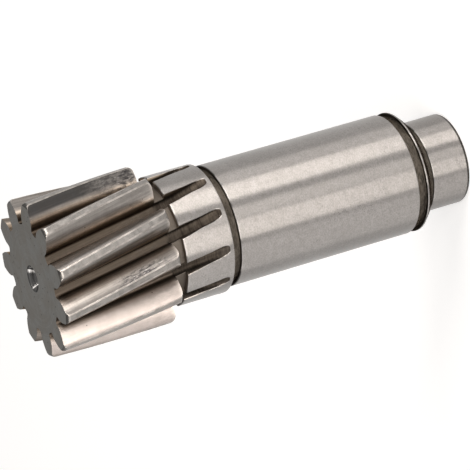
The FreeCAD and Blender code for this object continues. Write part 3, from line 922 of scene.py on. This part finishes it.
def faced_steel():
    """The gear's end face: fine facing rings, grey handling smudges, specks and scratches."""
    material, tree, shader, where = new_steel("faced_steel")
    out_from_axis = put(tree, add(tree, "ShaderNodeCombineXYZ"), X=where.outputs["Radius"],
                        Z=where.outputs["Radius"])
    lines = use(tree, "marks", Place=out_from_axis.outputs[0], Along=5.0, Around=0.0, Unevenness=0.6)
    hand = use(tree, "handling", Place=where.outputs["Millimetres"], Cloud_Size=2.4, Scratch_Length=3.0,
               Speck_Size=0.35, Speck_Share=0.05)
    metal = blend_colour(tree, lines.outputs["Marks"], (0.44, 0.428, 0.40), (0.55, 0.535, 0.50))
    smudged = tint(tree, hand.outputs["Clouds"], 0.55, metal, (0.33, 0.305, 0.27))
    specked = blend_colour(tree, hand.outputs["Specks"], smudged, (0.08, 0.075, 0.07))
    scratched = tint(tree, hand.outputs["Scratches"], 0.5, specked, (0.6, 0.58, 0.55))
    rough = maths(tree, "MULTIPLY_ADD", hand.outputs["Clouds"], 0.12, 0.34)
    put(tree, shader, Base_Color=scratched, Roughness=rough)
    bumped(tree, shader, lines.outputs["Height"], 0.008)
    return material


def centre_steel():
    """The drilled centre: a bright reamed cone with rings of tool marks, and painted shade that darkens it
    towards the pilot hole.
    """
    material, tree, shader, where = new_steel("centre_steel")
    lines = use(tree, "marks", Place=where.outputs["Millimetres"], Along=6.0, Around=0.3, Unevenness=0.6)
    metal = blend_colour(tree, lines.outputs["Marks"], (0.08, 0.077, 0.072), (0.40, 0.39, 0.38))
    # Painted shade: the cone is darkened towards the pilot hole.
    painted_hole_shade = spread(tree, where.outputs["Radius"], DRILL_R, DRILL_R + 0.4, 0.8, 0.0)
    put(tree, shader, Base_Color=blend_colour(tree, painted_hole_shade, metal, (0.05, 0.045, 0.04)), Roughness=0.12)
    bumped(tree, shader, lines.outputs["Height"], 0.01)
    return material


def make_floor():
    """A plain pale floor, which shows white to the camera and in the metal and keeps the shadow."""
    mesh = bpy.data.meshes.new("floor")
    corners = [(-1, -1), (1, -1), (1, 1), (-1, 1)]
    mesh.from_pydata([(x * FLOOR_HALF, y * FLOOR_HALF, 0) for x, y in corners], [], [(0, 1, 2, 3)])
    floor = bpy.data.objects.new("floor", mesh)
    bpy.context.scene.collection.objects.link(floor)
    material = bpy.data.materials.new("pale_floor")
    material.use_nodes = True
    tree = material.node_tree
    path = add(tree, "ShaderNodeLightPath")
    seen = maths(tree, "MAXIMUM", path.outputs["Is Camera Ray"], path.outputs["Is Glossy Ray"])
    seen = maths(tree, "MAXIMUM", seen, path.outputs["Is Transmission Ray"])
    glow = maths(tree, "MULTIPLY", seen, FLOOR_GLOW)
    put(tree, tree.nodes["Principled BSDF"], Base_Color=(0.8, 0.8, 0.8), Roughness=0.9,
        Specular_IOR_Level=0.0, Emission_Color=(1.0, 1.0, 1.0), Emission_Strength=glow)
    lay_out(tree)
    mesh.materials.append(material)


def stood(name, data, right, up, back, place):
    """An object in the scene from its three axes and its place."""
    thing = bpy.data.objects.new(name, data)
    thing.matrix_world = Matrix((*zip(right, up, back, place), (0, 0, 0, 1)))
    bpy.context.scene.collection.objects.link(thing)
    return thing


def make_panel(name, azimuth, elevation, distance, width, height, radiance, colour):
    """A soft panel that faces the shaft's middle from a direction in degrees round the axis."""
    lamp = bpy.data.lights.new(name, "AREA")
    lamp.shape = "RECTANGLE"
    lamp.size = width
    lamp.size_y = height
    lamp.energy = radiance * math.pi * width * height
    lamp.color = colour
    turn, lift = math.radians(azimuth), math.radians(elevation)
    way = np.array([math.cos(turn) * math.cos(lift), math.sin(turn) * math.cos(lift), math.sin(lift)])
    side = np.array([-math.sin(turn), math.cos(turn), 0.0])
    stood(name, lamp, side, np.cross(way, side), way, way * distance + np.array([0, 0, SHAFT_MIDDLE * MM]))


def make_camera():
    """The camera where the photograph was taken from, in the CAD's frame."""
    data = bpy.data.cameras.new("camera")
    data.sensor_fit = "HORIZONTAL"
    data.sensor_width = 36.0
    data.lens = 249.24
    data.clip_start = 0.01
    bpy.context.scene.camera = stood(
        "camera", data,
        right=(-0.30925, -0.33604, -0.88963),
        up=(0.94823, -0.18010, -0.26159),
        back=(-0.07232, -0.92447, 0.37434),
        place=(-0.03195, -0.38447, 0.18768),
    )


def make_light():
    """Soft studio light: an even grey room and tall panels on the camera's side of the shaft."""
    world = bpy.data.worlds.new("room")
    bpy.context.scene.world = world
    world.use_nodes = True
    put(world.node_tree, world.node_tree.nodes["Background"], Color=(1.0, 1.0, 1.0), Strength=WORLD_LIGHT)
    for name, panel in PANELS.items():
        make_panel(name, *panel)


shaft = make_shaft()
GROUPS = {
    "place": shaft_place_group(),
    "marks": tool_marks_group(),
    "handling": handling_group(),
    "rubbed": rubbed_group(),
}
STEELS = {
    GROUND: ground_steel(),
    TURNED: turned_steel(),
    NEAR_FLANK: hobbed_steel("near_flank_steel", NEAR_FLANK_STEEL_AND_PAINTED_LIGHT, streak=0.50, clean_from=9.5,
                             dullness=0.38),
    TIP: tip_steel(),
    FACED: faced_steel(),
    CENTRE: centre_steel(),
    FAR_FLANK: hobbed_steel("far_flank_steel", FAR_FLANK_STEEL_AND_PAINTED_LIGHT, streak=0.42, clean_from=7.75,
                            dullness=0.27),
    EDGE: painted_highlight_edge_steel(),
}
for number in sorted(STEELS):
    shaft.data.materials.append(STEELS[number])
    lay_out(STEELS[number].node_tree)
for group in GROUPS.values():
    lay_out(group)
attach(shaft, "root")
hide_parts("pinion_shaft")

make_floor()
make_light()
make_camera()
bpy.context.scene.view_settings.view_transform = "Standard"
